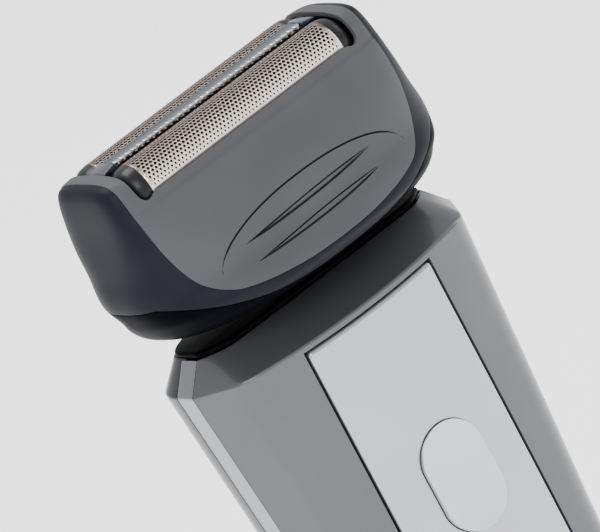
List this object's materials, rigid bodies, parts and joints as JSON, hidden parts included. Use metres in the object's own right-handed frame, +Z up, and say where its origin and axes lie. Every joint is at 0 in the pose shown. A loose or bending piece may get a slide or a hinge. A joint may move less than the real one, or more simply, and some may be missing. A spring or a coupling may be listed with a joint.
{
  "type": "electric shaver",
  "caption": "Foil shaver with a two-way swinging head, arched perforated foils, centre trimmer and a flared metallic handle.",
  "frame": {"origin": "middle of the flat base that the shaver stands on", "axes": "+Z up along the handle, the front with the button faces -Y, +X to the right seen from the front"},
  "size_m": [0.0586, 0.037, 0.1597],
  "materials": {
    "front_shell": "gunmetal metallic lacquer",
    "side_bands": "silver lacquer",
    "rear_cover": "black, glossy",
    "base_cap": "black, fine texture",
    "front_panel": "light silver lacquer",
    "power_button": "bright silver lacquer",
    "indicator_lens": "pale green, translucent",
    "neck_collar": "black, glossy",
    "neck_seal": "black",
    "inner_chassis": "dark grey",
    "battery": "sleeve",
    "battery_contacts": "nickel-plated",
    "circuit_board": "laminate",
    "button_switch": "black",
    "charging_pins": "plated",
    "housing_screws": "zinc-plated",
    "rock_pin": "ground",
    "swing_carriage": "black, low friction",
    "tilt_pin": "ground",
    "head_base": "black, glossy",
    "head_shell": "satin dark blue-grey",
    "motor_core": "laminated",
    "motor_coil": "enamelled copper wire",
    "drive_bridge": "natural acetal",
    "foil_frame": "charcoal, fine satin",
    "foils": "electroformed, warm",
    "cassettes": "dark grey, satin gloss",
    "cutters": "ground",
    "springs": "drawn wire",
    "trimmer_mount": "dark blue",
    "trimmer_comb": "blue-grey, brushed",
    "trimmer_blade": "ground",
    "beard_trimmer_slide": "black",
    "beard_blades": "ground"
  },
  "bodies": {
    "handle": {"front_shell": "front_shell", "side_bands": "side_bands", "rear_cover": "rear_cover", "base_cap": "base_cap", "front_panel": "front_panel", "indicator_lens": "indicator_lens", "neck_collar": "neck_collar", "neck_seal": "neck_seal", "inner_chassis": "inner_chassis", "battery": "battery", "battery_contacts": "battery_contacts", "circuit_board": "circuit_board", "button_switch": "button_switch", "charging_pins": "charging_pins", "housing_screws": "housing_screws"},
    "button": {"power_button": "power_button"},
    "carriage": {"swing_carriage": "swing_carriage", "rock_pin": "rock_pin", "tilt_pin": "tilt_pin"},
    "head": {"head_base": "head_base", "head_shell": "head_shell", "motor_core": "motor_core", "motor_coil": "motor_coil"},
    "bridge": {"drive_bridge": "drive_bridge", "front_spring": "springs", "rear_spring": "springs"},
    "frame": {"foil_frame": "foil_frame"},
    "front_foil_unit": {"front_foil": "foils", "front_cassette": "cassettes"},
    "rear_foil_unit": {"rear_foil": "foils", "rear_cassette": "cassettes"},
    "front_cutter_body": {"front_cutter": "cutters"},
    "rear_cutter_body": {"rear_cutter": "cutters"},
    "centre_trimmer": {"trimmer_mount": "trimmer_mount", "trimmer_comb": "trimmer_comb"},
    "centre_blade": {"trimmer_blade": "trimmer_blade"},
    "beard_trimmer": {"beard_trimmer_slide": "beard_trimmer_slide", "beard_trimmer_comb": "beard_blades"},
    "beard_blade": {"beard_trimmer_blade": "beard_blades"}
  },
  "joints": [
    {"name": "button_press", "type": "slide", "parent": "handle", "child": "button", "axis": [0, 1, 0], "range_m": [0, 0.0006], "stiffness_N_per_m": 900, "springref_m": -0.0004},
    {"name": "head_rock", "type": "hinge", "parent": "handle", "child": "carriage", "pos_m": [0, 0, 0.122], "axis": [0, 1, 0], "range_deg": [-5, 5], "stiffness_Nm_per_rad": 0.6},
    {"name": "head_tilt", "type": "hinge", "parent": "carriage", "child": "head", "pos_m": [0, 0, 0.1345], "axis": [1, 0, 0], "range_deg": [-8, 8], "stiffness_Nm_per_rad": 0.4},
    {"name": "drive_stroke", "type": "slide", "parent": "head", "child": "bridge", "axis": [1, 0, 0], "range_m": [-0.001, 0.001], "stiffness_N_per_m": 300},
    {"name": "frame_lift", "type": "slide", "parent": "head", "child": "frame", "axis": [0, 0, 1], "range_m": [0, 0.03]},
    {"name": "front_foil_float", "type": "slide", "parent": "frame", "child": "front_foil_unit", "axis": [0, 0, 1], "range_m": [-0.001, 0], "stiffness_N_per_m": 800, "springref_m": 0.0005, "deforming": ["front_spring"]},
    {"name": "rear_foil_float", "type": "slide", "parent": "frame", "child": "rear_foil_unit", "axis": [0, 0, 1], "range_m": [-0.001, 0], "stiffness_N_per_m": 800, "springref_m": 0.0005, "deforming": ["rear_spring"]},
    {"name": "front_cutter_stroke", "type": "slide", "parent": "front_foil_unit", "child": "front_cutter_body", "axis": [1, 0, 0], "range_m": [-0.001, 0.001]},
    {"name": "rear_cutter_stroke", "type": "slide", "parent": "rear_foil_unit", "child": "rear_cutter_body", "axis": [1, 0, 0], "range_m": [-0.001, 0.001]},
    {"name": "trimmer_float", "type": "slide", "parent": "frame", "child": "centre_trimmer", "axis": [0, 0, 1], "range_m": [-0.0005, 0], "stiffness_N_per_m": 600, "springref_m": 0.0005},
    {"name": "trimmer_stroke", "type": "slide", "parent": "centre_trimmer", "child": "centre_blade", "axis": [1, 0, 0], "range_m": [-0.001, 0.001]},
    {"name": "beard_trimmer_raise", "type": "slide", "parent": "handle", "child": "beard_trimmer", "axis": [0, 0, 1], "range_m": [0, 0.008]},
    {"name": "beard_blade_stroke", "type": "slide", "parent": "beard_trimmer", "child": "beard_blade", "axis": [1, 0, 0], "range_m": [-0.0006, 0.0006]}
  ],
  "couplings": [
    {"joint": "front_cutter_stroke", "follows": "drive_stroke", "ratio": 1},
    {"joint": "rear_cutter_stroke", "follows": "drive_stroke", "ratio": 1},
    {"joint": "trimmer_stroke", "follows": "drive_stroke", "ratio": 1}
  ]
}
